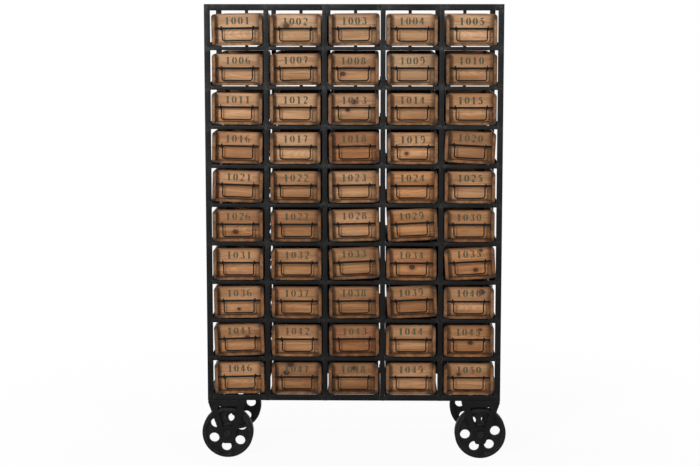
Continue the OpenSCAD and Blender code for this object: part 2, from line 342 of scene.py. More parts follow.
class Shade:
    """Short calls for building the node tree of a material or a world."""

    def __init__(self, owner, main="Principled BSDF"):
        owner.use_nodes = True
        self.tree = owner.node_tree
        self.shader = self.tree.nodes[main]

    def node(self, kind, inputs=(), **settings):
        made = self.tree.nodes.new(kind)
        for key, value in settings.items():
            setattr(made, key, value)
        for key, value in dict(inputs).items():
            self.put(made.inputs[key], value)
        return made

    def put(self, socket, value):
        if isinstance(value, bpy.types.NodeSocket):
            self.tree.links.new(value, socket)
        else:
            socket.default_value = value

    def set(self, name, value):
        self.put(self.shader.inputs[name], value)

    def attribute(self, name, output="Vector"):
        return self.node("ShaderNodeAttribute", attribute_name=name).outputs[output]

    def coordinates(self, kind):
        return self.node("ShaderNodeTexCoord").outputs[kind]

    def seen(self):
        """1 for rays of the camera, of reflections and of glass."""
        rays = self.node("ShaderNodeLightPath").outputs
        return self.most(rays["Is Camera Ray"], rays["Is Glossy Ray"], rays["Is Transmission Ray"])

    def noise(self, vector, scale, detail=3, roughness=0.5):
        inputs = {"Vector": vector, "Scale": scale, "Detail": detail, "Roughness": roughness}
        return self.node("ShaderNodeTexNoise", inputs).outputs["Fac"]

    def field(self, place, stretch, detail=3, roughness=0.55):
        """Noise with a scale of its own along each axis."""
        return self.noise(self.vector("MULTIPLY", place, stretch), 1.0, detail, roughness)

    def math(self, operation, a, b=0.0):
        return self.node("ShaderNodeMath", {0: a, 1: b}, operation=operation).outputs[0]

    def chain(self, operation, values):
        return functools.reduce(lambda a, b: self.math(operation, a, b), values)

    def times(self, *values):
        return self.chain("MULTIPLY", values)

    def plus(self, *values):
        return self.chain("ADD", values)

    def most(self, *values):
        return self.chain("MAXIMUM", values)

    def minus(self, a, b):
        return self.math("SUBTRACT", a, b)

    def absolute(self, value):
        return self.math("ABSOLUTE", value)

    def swing(self, value, reach):
        """Noise about 0.5 as noise about 0."""
        return self.times(self.minus(value, 0.5), reach)

    def vector(self, operation, a, b=(0, 0, 0)):
        made = self.node("ShaderNodeVectorMath", {0: a, 1: b}, operation=operation)
        return made.outputs["Value" if operation in ("LENGTH", "DOT_PRODUCT") else "Vector"]

    def scaled(self, vector, scale):
        return self.node("ShaderNodeVectorMath", {0: vector, "Scale": scale}, operation="SCALE").outputs["Vector"]

    def split(self, vector):
        return self.node("ShaderNodeSeparateXYZ", {"Vector": vector}).outputs[:3]

    def join(self, x, y, z):
        return self.node("ShaderNodeCombineXYZ", {"X": x, "Y": y, "Z": z}).outputs[0]

    def fit(self, value, low, high, to_low=0.0, to_high=1.0, smooth=True):
        made = self.node(
            "ShaderNodeMapRange",
            {"Value": value, "From Min": low, "From Max": high, "To Min": to_low, "To Max": to_high},
            interpolation_type="SMOOTHSTEP" if smooth else "LINEAR",
        )
        return made.outputs[0]

    def mix(self, factor, a, b):
        return self.node("ShaderNodeMix", {"Factor": factor, 6: a, 7: b}, data_type="RGBA").outputs[2]

    def cover(self, under, over, mask, share):
        """A colour with another laid over it, by a share of a mask."""
        return self.mix(self.times(mask, share), under, over)

    def corner(self, radius, low, high):
        """1 along edges, where the normal that is rounded over a radius leaves the face's own."""
        rounded = self.node("ShaderNodeBevel", {"Radius": radius}, samples=4).outputs["Normal"]
        flat = self.node("ShaderNodeNewGeometry").outputs["Normal"]
        return self.fit(self.vector("DOT_PRODUCT", rounded, flat), low, high)

    def bump(self, height, strength, distance):
        made = self.node("ShaderNodeBump", {"Height": height, "Strength": strength, "Distance": distance})
        self.set("Normal", made.outputs["Normal"])


def rgb(r, g, b):
    """A linear colour."""
    return (r, g, b, 1.0)


# Pale and dark wood of a bin of warmth 0, 1 and RED_WARMTH
PALE_WOOD = (rgb(0.63, 0.395, 0.234), rgb(0.63, 0.315, 0.134), rgb(0.53, 0.235, 0.095))
DEEP_WOOD = (rgb(0.34, 0.180, 0.082), rgb(0.31, 0.120, 0.042), rgb(0.24, 0.085, 0.028))
RED_WARMTH = 1.6
PORE = rgb(0.13, 0.058, 0.026)
KNOT_FLUSH = rgb(0.25, 0.088, 0.034)
KNOT_HEART = rgb(0.080, 0.030, 0.014)
KNOT_RIM = rgb(0.020, 0.011, 0.008)
# Some browns below are dirt with painted shade: the front board's edges, the ends' edges and corners, and the flanks
SEAM_DIRT_AND_SHADE = rgb(0.10, 0.046, 0.020)
STAIN = rgb(0.15, 0.070, 0.032)
END_EDGE_DIRT_AND_SHADE = rgb(0.075, 0.034, 0.015)
END_GRIME_AND_SHADE = rgb(0.026, 0.013, 0.008)
NICK = rgb(0.52, 0.33, 0.18)
FLANK_DIRT_AND_SHADE = rgb(0.060, 0.030, 0.016)
RUBBED_WOOD = rgb(0.50, 0.30, 0.15)
INK = rgb(0.050, 0.070, 0.042)
BROWN_IRON = rgb(0.040, 0.024, 0.015)
GROUND_IRON = rgb(0.034, 0.034, 0.033)
STREAKED_IRON = rgb(0.030, 0.031, 0.032)
# rubbed iron: wear, with a painted highlight along edges
RUBBED_IRON_AND_HIGHLIGHT = rgb(0.13, 0.128, 0.124)
RINGS_PER_METRE = 210


def pine_material(name, ink=False):
    """Old waxed pine, from what each vertex holds.

    grain: metres along, across and into the board from its middle. seed: three numbers of the board's own.
    tone: brightness, warmth and half the board's width. end_cut: 1 where a board shows its end grain.
    knot_a, knot_b: place round a knot.
    """
    material = bpy.data.materials.new(name)
    s = Shade(material)
    grain = s.attribute("grain")
    seed = s.attribute("seed")
    brightness, warmth, half_width = s.split(s.attribute("tone"))
    along, across, into = s.split(grain)
    chance = s.split(seed)
    end_cut = s.attribute("end_cut", "Fac")
    spot = s.vector("ADD", grain, s.scaled(seed, 3.0))
    field = functools.partial(s.field, spot)

    # growth rings round a heart that lies behind the board and drifts along it; knots push them aside
    near = [s.vector("LENGTH", s.attribute(knot)) for knot in ("knot_a", "knot_b")]
    bulge = [s.math("EXPONENT", s.times(d, d, -0.25)) for d in near]
    heart_across = s.plus(s.times(chance[0], 0.035), s.swing(field((2.5, 4, 4)), 0.045))
    heart_behind = s.plus(
        s.times(chance[1], 0.016), 0.045, s.times(along, chance[2], 0.16), s.swing(field((6, 3, 3)), 0.03)
    )
    radius = s.vector("LENGTH", s.join(s.minus(across, heart_across), s.plus(into, heart_behind), 0.0))
    radius = s.plus(radius, s.times(s.plus(*bulge), 0.012))
    line = s.math("FRACT", s.plus(s.times(radius, RINGS_PER_METRE), s.times(field((9, 60, 60)), 0.7)))
    late = s.times(s.fit(line, 0.15, 0.88), s.fit(line, 1.0, 0.9), s.fit(field((3, 11, 11)), 0.3, 0.7, 0.45, 1.0))

    fibre = field((26, 900, 900), 3, 0.65)
    streak = field((6, 150, 150), 4, 0.6)
    band = field((3.5, 30, 30), 3, 0.5)
    pores = field((60, 1500, 1500), 2, 0.5)
    red = s.fit(warmth, 1.0, RED_WARMTH, smooth=False)
    pale, deep = [s.mix(red, s.mix(warmth, pink, brown), rust) for pink, brown, rust in (PALE_WOOD, DEEP_WOOD)]
    wood = s.cover(pale, deep, late, 0.5)
    wood = s.cover(wood, deep, s.fit(band, 0.40, 0.62), 0.62)
    wood = s.cover(wood, deep, s.fit(streak, 0.50, 0.68), 0.78)
    wood = s.cover(wood, deep, s.fit(fibre, 0.4, 0.8), 0.30)
    wood = s.cover(wood, PORE, s.fit(pores, 0.62, 0.74), 0.35)

    # knots: a dark ring round a brown heart, in reddened wood
    for d in near:
        ragged = s.plus(d, s.times(s.noise(grain, 130, 2), 0.5))
        wood = s.cover(wood, KNOT_FLUSH, s.fit(ragged, 3.8, 1.2), 0.65)
        wood = s.cover(wood, KNOT_HEART, s.fit(ragged, 1.5, 0.9), 0.9)
        wood = s.cover(wood, KNOT_RIM, s.times(s.fit(ragged, 0.8, 1.15), s.fit(ragged, 1.9, 1.25)), 0.85)

    # the front board is painted paler below the rod, as painted light for its brighter lower part, and darker along its
    # edges, as dirt with painted shade in the corners where it meets the other boards
    height_share = s.math("DIVIDE", across, half_width)
    is_panel = s.minus(1.0, end_cut)
    # painted light: paler towards the bottom of the front board
    painted_light_low = s.fit(s.plus(height_share, s.times(field((9, 12, 12)), 0.3)), 0.45, -0.15)
    wood = s.scaled(wood, s.plus(s.times(painted_light_low, is_panel, 0.17), 0.90))
    # dirt and painted shade along the front board's edges, where it meets the other boards
    seam_dirt_and_shade = s.most(
        s.fit(s.absolute(along), 0.066, 0.084),
        s.times(s.fit(height_share, -0.86, -1.0), 0.7),
        s.times(s.fit(height_share, 0.88, 1.0), 0.8),
    )
    patchy = s.fit(field((14, 30, 30), 4, 0.6), 0.3, 0.6, 0.4, 0.85)
    wood = s.cover(wood, SEAM_DIRT_AND_SHADE, s.times(seam_dirt_and_shade, is_panel), patchy)
    stain = field((16, 26, 26), 5, 0.7)
    wood = s.cover(wood, STAIN, s.fit(stain, 0.56, 0.74), 0.32)

    # end grain drinks the wax: dark, streaked along the rings, with pale scratches. Dirt blotches, and painted shade,
    # darken its rounded edges and its top and bottom corners
    facing = s.split(s.coordinates("Normal"))[Y]
    cut = s.times(s.fit(s.absolute(facing), 0.35, 0.75), end_cut)
    tint = s.plus(s.fit(late, 0.0, 1.0, 0.54, 0.28), s.fit(field((3, 90, 260), 3, 0.6), 0.3, 0.7, -0.12, 0.14))
    ends = s.scaled(s.vector("MULTIPLY", wood, (1.12, 1.0, 0.86)), tint)
    cloud = field((20, 34, 60), 4, 0.65)
    # painted shade, with dirt, towards the top and bottom corners of the boards' end faces
    corner_dirt_and_shade = s.fit(s.plus(s.absolute(height_share), s.swing(cloud, 0.8)), 0.58, 0.94)
    corner_dirt_and_shade = s.times(corner_dirt_and_shade, end_cut)
    # painted shade, with dirt, where the end face rounds over towards the board's faces
    ends = s.mix(s.fit(s.absolute(into), 3.2 * MM, 6.6 * MM, 0.0, 0.6), ends, END_EDGE_DIRT_AND_SHADE)
    ends = s.mix(s.most(s.times(s.fit(cloud, 0.46, 0.68), 0.55), s.times(corner_dirt_and_shade, 0.94)), ends, END_GRIME_AND_SHADE)
    ends = s.cover(ends, NICK, s.fit(field((40, 70, 420), 4, 0.7), 0.60, 0.70), 0.5)

    # dirt and painted shade on the side boards' flanks, most towards the front and back
    flank_dirt_and_shade = s.times(end_cut, s.fit(s.absolute(along), 0.12, 0.240, 0.45, 1.0))
    wood = s.cover(wood, FLANK_DIRT_AND_SHADE, flank_dirt_and_shade, s.fit(cloud, 0.3, 0.6, 0.5, 0.95))
    wood = s.mix(cut, wood, ends)

    # rubbed arrises
    arris = s.times(
        s.corner(3.0 * MM, 0.99, 0.86),
        s.fit(stain, 0.38, 0.60),
        s.fit(end_cut, 0.0, 1.0, 0.32, 0.16, smooth=False),
        s.minus(1.0, corner_dirt_and_shade),
    )
    wood = s.scaled(s.mix(arris, wood, RUBBED_WOOD), brightness)

    if ink:
        flaked = s.fit(field((90, 420, 420), 4, 0.7), 0.76, 0.52)
        faded = s.fit(s.noise(grain, 160, 3, 0.6), 0.84, 0.56)
        wood = s.cover(wood, INK, s.times(flaked, faded), 0.86)
    s.set("Base Color", wood)
    s.set("Roughness", s.fit(fibre, 0.2, 0.8, 0.5, 0.66))
    s.set("Specular IOR Level", 0.22)
    s.bump(s.plus(s.times(late, 0.5), s.times(fibre, 0.9)), 0.5, 0.25 * MM)
    return material


def iron_material(name, base, rust, roughness, grit, edge=1.2 * MM, joints=False, wear_and_highlight=0.4):
    """Black iron: mill scale, rubbed edges with a painted highlight along them, a trace of brown, and ground spots
    where rails meet posts. On the frame, a painted sheen makes it lighter towards the top.
    """
    material = bpy.data.materials.new(name)
    s = Shade(material)
    place = s.coordinates("Object")
    patch = s.noise(place, 46, 5, 0.65)
    dark, light = [rgb(*[c * share for c in base]) for share in (0.72, 1.55)]
    skin = s.mix(s.fit(s.noise(place, 9, 4, 0.6), 0.35, 0.68), dark, light)
    skin = s.cover(skin, light, s.fit(patch, 0.5, 0.72), 0.5)
    skin = s.cover(skin, BROWN_IRON, s.fit(s.noise(place, 21, 5, 0.7), 0.56, 0.74), rust)
    if joints:
        x, _, z = s.split(place)
        near = []
        for value, first, pitch in ((x, 0.5 * COLUMN_PITCH, COLUMN_PITCH), (z, RAIL_Z, ROW_PITCH)):
            # 0.5 on a post or rail; whole pitches are added to stay above 0
            turn = s.math("FRACT", s.plus(s.math("DIVIDE", s.minus(value, first), pitch), 20.5))
            near.append(s.fit(s.absolute(s.minus(turn, 0.5)), 0.15, 0.05))
        ground = s.times(*near, s.fit(s.noise(place, 60, 4, 0.7), 0.42, 0.66))
        skin = s.cover(skin, GROUND_IRON, ground, 0.7)
        skin = s.cover(skin, STREAKED_IRON, s.fit(s.field(place, (14, 90, 90), 4, 0.7), 0.58, 0.72), 0.35)
        # painted sheen: the frame's colour grows lighter towards the top, where the lamps' sheen falls
        skin = s.scaled(skin, s.fit(z, 0.5, 1.75, 0.62, 1.7))
    # rubbed edges: wear, with a painted highlight along them
    rubbed_and_highlit = s.times(s.corner(edge, 0.985, 0.88), s.fit(patch, 0.38, 0.62))
    s.set("Base Color", s.cover(skin, RUBBED_IRON_AND_HIGHLIGHT, rubbed_and_highlit, wear_and_highlight))
    s.set("Roughness", s.plus(s.fit(patch, 0.3, 0.75, roughness, roughness + 0.2), s.times(rubbed_and_highlit, -0.12)))
    s.set("Specular IOR Level", 0.11)
    s.bump(s.plus(s.noise(place, 420, 3, 0.6), s.times(patch, 2.0)), 0.55, grit)
    return material


def stage_material(name, colour, own_light):
    """A pale floor that keeps shadows near the object.

    For the camera and for reflections a part of its white is its own, and all of it away from the object.
    """
    material = bpy.data.materials.new(name)
    s = Shade(material)
    s.set("Base Color", colour)
    s.set("Roughness", 0.9)
    s.set("Specular IOR Level", 0.0)
    glow = s.node("ShaderNodeEmission", {"Color": (1, 1, 1, 1), "Strength": 1.0})
    away = s.vector("LENGTH", s.coordinates("Object"))
    own = s.times(s.seen(), s.fit(away, 0.9, 2.6, own_light, 1.0))
    blend = s.node("ShaderNodeMixShader", {0: own, 1: s.shader.outputs[0], 2: glow.outputs[0]})
    s.put(s.tree.nodes["Material Output"].inputs["Surface"], blend.outputs[0])
    return material


# -------- the wooden bins


class BinPlace:
    """Where a bin lies: its size without the lean, and its middle and lean, read from its CAD node."""

    def __init__(self, number):
        self.number = number
        self.name = f"bin_{number:02d}"
        self.size = BIN_SIZE
        low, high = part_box(self.name)
        middle = (low + high) / 2
        straight_w = BIN_SIZE.x - 2 * CORNER_R
        straight_h = BIN_SIZE.z - 2 * CORNER_R
        extra = (high.z - low.z) - BIN_SIZE.z
        # height grows with the lean as straight_w * sin - straight_h * (1 - cos)
        lean = 0.0
        for _ in range(12):
            lean = math.asin(max(0.0, (extra + straight_h * (1 - math.cos(lean))) / straight_w))
        lowest = min(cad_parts[self.name].data.vertices, key=lambda v: v.co.z).co
        if lean < LEAST_LEAN:
            lean = 0.0
        elif lowest.x >= middle.x:
            lean = -lean
        self.matrix = Matrix.Translation(middle) @ Matrix.Rotation(-lean, 4, "Y")

    def put(self, x, y, z):
        """A point given across from the bin's middle, back from its front edge and up from its underside."""
        return self.matrix @ Vector((x, y - self.size.y / 2, z - self.size.z / 2))


def side_board_outline(side, width, height):
    """A side board seen from the front, anticlockwise, with its worn round outer corners."""
    inner = width / 2 - BOARD_T
    corner = width / 2 - CORNER_R
    rise = height - 2 * CORNER_R
    points = arc(corner, CORNER_R, CORNER_R, CORNER_R, -90, 0, 5)
    points += [(width / 2, CORNER_R + rise * i / 6) for i in range(1, 6)]
    points += arc(corner, height - CORNER_R, CORNER_R, CORNER_R, 0, 90, 5)
    ease = INNER_EDGE_R
    sharp = 0.4
    points += [(inner + ease, height, sharp), (inner, height - ease, sharp)]
    points += [(inner, height - ease + (2 * ease - height) * i / 5, sharp) for i in range(1, 5)]
    points += [(inner, ease, sharp), (inner + ease, 0, sharp)]
    if side < 0:
        points = [(-x, *rest) for x, *rest in reversed(points)]
    return points


# Where a board without knots has them: 60 times their radius away
FAR_KNOT = Vector((60.0, 60.0, 0.0))


class PineLayers:
    """The vertex attributes that the pine reads, on one bmesh."""

    def __init__(self, bm):
        vectors = bm.verts.layers.float_vector
        self.grain, self.seed, self.tone = [vectors.new(n) for n in ("grain", "seed", "tone")]
        self.knots = [vectors.new(n) for n in ("knot_a", "knot_b")]
        self.end_cut = bm.verts.layers.float.new("end_cut")

    def write(self, v, grain, seed, tone, end_cut=0.0, knots=(FAR_KNOT, FAR_KNOT)):
        v[self.grain], v[self.seed], v[self.tone], v[self.end_cut] = grain, seed, tone, end_cut
        for layer, place in zip(self.knots, knots):
            v[layer] = place


def bin_dice(number, seed):
    """The random draws of one kind of piece on one bin."""
    return random.Random(number * seed[0] + seed[1])


def chance_vector(dice):
    return Vector([dice.uniform(-1, 1) for _ in range(3)])


class Boards:
    """The five boards of one bin as one mesh, with the attributes that the pine reads."""

    def __init__(self, place, tone, warmth):
        self.place = place
        self.bm = bmesh.new()
        self.layers = PineLayers(self.bm)
        self.values = (tone, warmth)
        self.dice = bin_dice(place.number, BOARD_SEED)

    def board(self, outline, stations, order, axes, shade=1.0, knots=(), ends_show=True):
        """One board lofted along an axis. order says which of X, Y, Z the outline's two axes and the length are,
        and axes which of them run along, across and into the grain."""
        local = []
        centre = Vector((0, self.place.size.y / 2, self.place.size.z / 2))

        def place(a, b, t):
            p = Vector((0.0, 0.0, 0.0))
            for axis, value in zip(order, (a, b, t)):
                p[axis] = value
            warp = noise.noise(Vector((p.x * 7 + self.place.number * 5.1, p.y * 5, p.z * 9)))
            local.append(p)
            return self.place.put(*(centre + (p - centre) * (1 - WARP * (0.5 + 0.5 * warp))))

        verts = loft(self.bm, outline, stations, place)
        middle = [(min(p[i] for p in local) + max(p[i] for p in local)) / 2 for i in range(3)]
        seed = chance_vector(self.dice)
        skew = self.dice.uniform(-0.03, 0.03)
        tint = self.values[0] * shade * self.dice.uniform(0.94, 1.06)
        warmth = self.values[1] + self.dice.uniform(-0.12, 0.12)
        along, across, into = axes
        half = max(p[across] for p in local) - middle[across]
        for v, p in zip(verts, local):
            u, w, n = [p[axis] - middle[axis] for axis in (along, across, into)]
            places = [FAR_KNOT, FAR_KNOT]
            for i, (ku, kw, kr) in enumerate(knots):
                places[i] = Vector(((p[along] - ku) / (kr * KNOT_LENGTH), (p[across] - kw) / kr, 0.0))
            grain = Vector((u, w + skew * u, n))
            self.layers.write(v, grain, seed, Vector((tint, warmth, half)), 1.0 if ends_show else 0.0, places)


def make_boards(place, tone, warmth, knots, material):
    """Two side boards, a bottom, and a front and a back board, the front one with its knots."""
    width, depth, height = place.size
    boards = Boards(place, tone, warmth)
    for side in (-1, 1):
        outline = side_board_outline(side, width, height)
        boards.board(outline, rounded_stations(depth, SIDE_END_R, 4, 7), (X, Z, Y), (Y, Z, X), 0.97)
    inner_w = width - 2 * BOARD_T - 2 * JOINT_GAP
    bottom = [(x - inner_w / 2, z) for x, z in rectangle(inner_w, BOTTOM_T, BOTTOM_EDGE_R, 1)]
    bottom_shade = 0.98 + 0.12 * math.sin(place.number * 2.3)
    boards.board(bottom, rounded_stations(depth, BOTTOM_END_R, 3, 7), (X, Z, Y), (Y, X, Z), bottom_shade)
    panel_h = height - BOTTOM_T - JOINT_GAP
    for y, board_knots in ((PANEL_RECESS, knots), (depth - PANEL_T, ())):
        section = [(y + a, BOTTOM_T + JOINT_GAP + b) for a, b in rectangle(PANEL_T, panel_h, PANEL_EDGE_R)]
        stations = [(t - inner_w / 2, inset) for t, inset in rounded_stations(inner_w, PANEL_END_R, 1, 4)]
        boards.board(section, stations, (Y, Z, X), (X, Z, Y), 1.0, board_knots, ends_show=False)
    finish_piece(f"{place.name}_boards", boards.bm, place.name, material, [place.name], 35)


def bail_path(dice):
    """The bent wire's centre line round the rod's centre: eye, leg, bend, grip, bend, leg, eye."""
    eye_r = ROD_D / 2 + BAIL_PLAY + WIRE_D / 2
    half = BAIL_W / 2
    bend = BAIL_BEND_R * dice.uniform(0.85, 1.2)
    droop = dice.uniform(-0.8, 0.8) * MM
    low = -BAIL_DROP
    left = []
    for i in range(EYE_STEPS + 1):
        share = 1 - i / EYE_STEPS
        turn = math.radians(EYE_TURN * share - 90)
        left.append(Vector((-half - EYE_LEAD * share, -eye_r * math.cos(turn), eye_r * math.sin(turn))))
    left.append(Vector((-half, -LEG_FORWARD, -eye_r - LEG_START)))
    left += [Vector((x, 0, z)) for x, z in arc(bend - half, low + bend, bend, bend, 180, 270, BEND_STEPS)]
    grip = []
    for i in range(1, BEND_STEPS):
        x = bend - half + (BAIL_W - 2 * bend) * i / BEND_STEPS
        grip.append(Vector((x, 0, low + droop * math.sin(math.pi * i / BEND_STEPS))))
    return left + grip + [Vector((-p.x, p.y, p.z)) for p in reversed(left)]


def make_handle(place, material):
    """The rod across a bin's front, slightly bent, and the bail on it."""
    width, _, height = place.size
    dice = bin_dice(place.number, HANDLE_SEED)
    rod_z = height - ROD_DROP
    reach = width / 2 - BOARD_T + ROD_SOCKET
    bm = bmesh.new()
    sag = dice.uniform(-0.5, 0.5) * MM
    rod = []
    for i in range(ROD_STEPS + 1):
        share = i / ROD_STEPS
        rod.append(place.put(reach * (2 * share - 1), ROD_INSET, rod_z + sag * math.sin(math.pi * share)))
    tube(bm, rod, ROD_D / 2, 14)
    swing = Matrix.Rotation(math.radians(dice.uniform(-2.5, 1.0)), 4, "X")
    slide = dice.uniform(-2.0, 2.0) * MM
    wire = []
    for p in bail_path(dice):
        q = swing @ p
        wire.append(place.put(q.x + slide, ROD_INSET + q.y, rod_z + q.z))
    tube(bm, wire, WIRE_D / 2)
    finish_piece(f"{place.name}_handle", bm, place.name, material, smooth=60)


# Digits as brush strokes, one high and about half as wide, with x from their middle and y from their foot. Each stroke
# is a list of (x, y, width), with thin ends and gaps, as a cut stencil leaves them.


def swell(points, full, thin=THIN):
    """Gives a stroke's points a width that swells from thin to a share of THICK in the middle."""
    last = len(points) - 1
    thick = THICK * full
    return [(x, y, thin + (thick - thin) * math.sin(math.pi * i / last) ** 1.2) for i, (x, y) in enumerate(points)]


def curl(full, *along):
    """A swelling stroke along an arc."""
    return swell(arc(*along), full)


def even(points, width):
    return [(x, y, width) for x, y in points]


STROKES = {
    "0": [curl(1, 0, 0.5, 0.22, 0.46, 104, 256), curl(1, 0, 0.5, 0.22, 0.46, 76, -76)],
    "1": [
        even([(0.02, 0.97), (0.02, 0.08)], THICK),
        even([(-0.17, 0.80), (-0.05, 0.92)], THIN * 1.3),
        even([(-0.14, 0.03), (0.18, 0.03)], THIN),
    ],
    "2": [
        curl(0.8, 0, 0.72, 0.2, 0.25, 165, 100, 6),
        curl(1, 0, 0.72, 0.2, 0.25, 80, -60, 8),
        even([(0.1, 0.42), (-0.2, 0.1)], THIN * 1.4),
        swell([(-0.24, 0.06), (-0.08, 0.09), (0.08, 0.03), (0.25, 0.1)], 0.8),
    ],
    "3": [
        curl(0.6, 0, 0.75, 0.17, 0.22, 160, 100, 6),
        curl(0.9, 0, 0.75, 0.17, 0.22, 80, -80, 8),
        curl(1, 0, 0.27, 0.21, 0.25, 80, -80, 8),
        curl(0.6, 0, 0.27, 0.21, 0.25, 260, 195, 6),
    ],
    "4": [
        even([(0.09, 0.95), (0.09, 0.34)], THICK * 0.9),
        even([(0.09, 0.21), (0.09, 0.04)], THICK * 0.9),
        even([(0.0, 0.9), (-0.25, 0.31)], THIN * 1.2),
        even([(-0.26, 0.27), (0.27, 0.27)], THIN * 1.2),
    ],
    "5": [
        even([(-0.12, 0.93), (-0.16, 0.58)], THIN * 1.2),
        swell([(-0.13, 0.9), (0.0, 0.87), (0.1, 0.9), (0.2, 0.96)], 0.8),
        curl(1, -0.01, 0.3, 0.22, 0.28, 120, -85),
        curl(0.6, -0.01, 0.3, 0.22, 0.28, 258, 205, 6),
    ],
    "6": [
        curl(0.6, 0.02, 0.48, 0.24, 0.46, 65, 100, 5),
        curl(1, 0.02, 0.48, 0.24, 0.46, 112, 250),
        curl(0.8, 0.02, 0.29, 0.2, 0.25, 115, -80),
    ],
    "7": [
        swell([(-0.22, 0.88), (-0.06, 0.93), (0.08, 0.87), (0.22, 0.93)], 0.9),
        swell([(0.21, 0.86), (0.08, 0.55), (0.0, 0.3), (-0.02, 0.03)], 1, THIN * 1.3),
    ],
    "8": [
        curl(0.8, 0, 0.75, 0.17, 0.21, 100, 260, 8),
        curl(0.8, 0, 0.75, 0.17, 0.21, 80, -80, 8),
        curl(1, 0, 0.27, 0.21, 0.25, 100, 260, 8),
        curl(1, 0, 0.27, 0.21, 0.25, 80, -80, 8),
    ],
    "9": [
        curl(0.8, -0.02, 0.71, 0.2, 0.25, -65, 260, 14),
        curl(1, -0.02, 0.52, 0.24, 0.46, 40, -70),
        curl(0.6, -0.02, 0.52, 0.24, 0.46, 245, 280, 5),
    ],
}


def add_stroke(bm, stroke, put):
    """A flat closed ribbon along a stroke. put maps (x, y, layer) to a point, layer 0 at the back and 1 in front."""
    rings = []
    last = len(stroke) - 1
    for i, (x, y, width) in enumerate(stroke):
        x0, y0, _ = stroke[max(0, i - 1)]
        x1, y1, _ = stroke[min(last, i + 1)]
        length = math.hypot(x1 - x0, y1 - y0) or 1.0
        nx, ny = (y0 - y1) / length * width / 2, (x1 - x0) / length * width / 2
        ring = ((1, 0), (-1, 0), (-1, 1), (1, 1))
        rings.append([bm.verts.new(put(x + side * nx, y + side * ny, layer)) for side, layer in ring])
    join_rings(bm, rings)


def make_number(place, tone, warmth, material):
    """The bin's running number, stencilled on its front board."""
    dice = bin_dice(place.number, NUMBER_SEED)
    bm = bmesh.new()
    layers = PineLayers(bm)
    text = str(FIRST_NUMBER + place.number - 1)
    shift = dice.uniform(-2, 2) * MM
    middle_z = DIGIT_MIDDLE_Z + dice.uniform(-1.5, 1.5) * MM
    local = []
    for i, digit in enumerate(text):
        middle_x = (i - (len(text) - 1) / 2) * DIGIT_PITCH + shift
        for k, stroke in enumerate(STROKES[digit]):

            def put(x, y, layer):
                depth = PANEL_RECESS - layer * (INK_T + k * INK_STEP)
                p = (middle_x + x * DIGIT_H, depth, middle_z + (y - 0.5) * DIGIT_H)
                local.append(Vector(p))
                return place.put(*p)

            add_stroke(bm, stroke, put)
    seed = chance_vector(dice)
    for v, p in zip(bm.verts, local):
        layers.write(v, Vector((p.x, p.z, p.y)), seed, Vector((tone, warmth, 0.05)))
    finish_piece(f"{place.name}_number", bm, place.name, material, smooth=20)


# Knots in the front boards: bin, place across and up from the bin's underside, radius. Millimetres.
KNOTS = {
    2: [(-37, 78, 7)],
    8: [(-41, 44, 6)],
    13: [(0, 88, 7), (-23, 56, 5)],
    19: [(-23, 39, 5)],
    26: [(-11, 34, 7)],
    34: [(3, 47, 7)],
    35: [(23, 32, 6), (47, 108, 4)],
    36: [(-3, 30, 4)],
    40: [(52, 102, 8)],
    41: [(30, 66, 6)],
    45: [(8, 50, 6), (47, 104, 4)],
    47: [(-26, 114, 8), (-43, 80, 7)],
    48: [(3, 99, 6)],
    50: [(-39, 76, 5)],
}
RED_BINS = (18, 43)
REDDISH_BINS = (14, 16, 24, 34, 45)
DARK_BINS = (7, 8, 10, 13, 20, 22, 27, 30, 33, 38, 39, 47, 48)
PALE_BINS = (2, 4, 9, 11, 12, 17, 19, 23, 28, 36, 40, 46, 49)


def bin_tone(number):
    """Brightness and warmth of a bin's wood: paler and pinker in the upper rows, browner below. The lower rows'
    darkening is partly painted shade, for the weaker light low down.
    """
    dice = bin_dice(number, TONE_SEED)
    row = (number - 1) // COLUMNS
    # age and painted shade: the lower rows get darker and browner
    age_and_shade_by_row = math.sin(math.pi / 2 * min(1.0, 1.6 * row / (ROWS - 1)))
    tone = 1.0 - 0.13 * age_and_shade_by_row + dice.uniform(-0.05, 0.05)
    warmth = 0.1 + 0.72 * age_and_shade_by_row + dice.uniform(-0.12, 0.12)
    if number in RED_BINS:
        tone, warmth = tone - 0.05, RED_WARMTH
    elif number in REDDISH_BINS:
        warmth += 0.25
    elif number in DARK_BINS:
        tone, warmth = tone - 0.13, warmth + 0.15
    elif number in PALE_BINS:
        tone, warmth = tone + 0.08, warmth - 0.15
    return tone, max(0.0, warmth)


def make_bins():
    """Fifty bins, each of boards, handle and number, with three materials between them."""
    pine = pine_material("old_pine")
    ink = pine_material("stencil_ink", ink=True)
    wire = iron_material("handle_black_iron", (0.0045, 0.0045, 0.0048), 0.3, 0.42, 0.05 * MM, 0.3 * MM)
    for number in range(1, BINS + 1):
        place = BinPlace(number)
        tone, warmth = bin_tone(number)
        knots = [(x * MM, z * MM, r * MM) for x, z, r in KNOTS.get(number, [])]
        make_boards(place, tone, warmth, knots, pine)
        make_handle(place, wire)
        make_number(place, tone, warmth, ink)


# -------- the iron frame


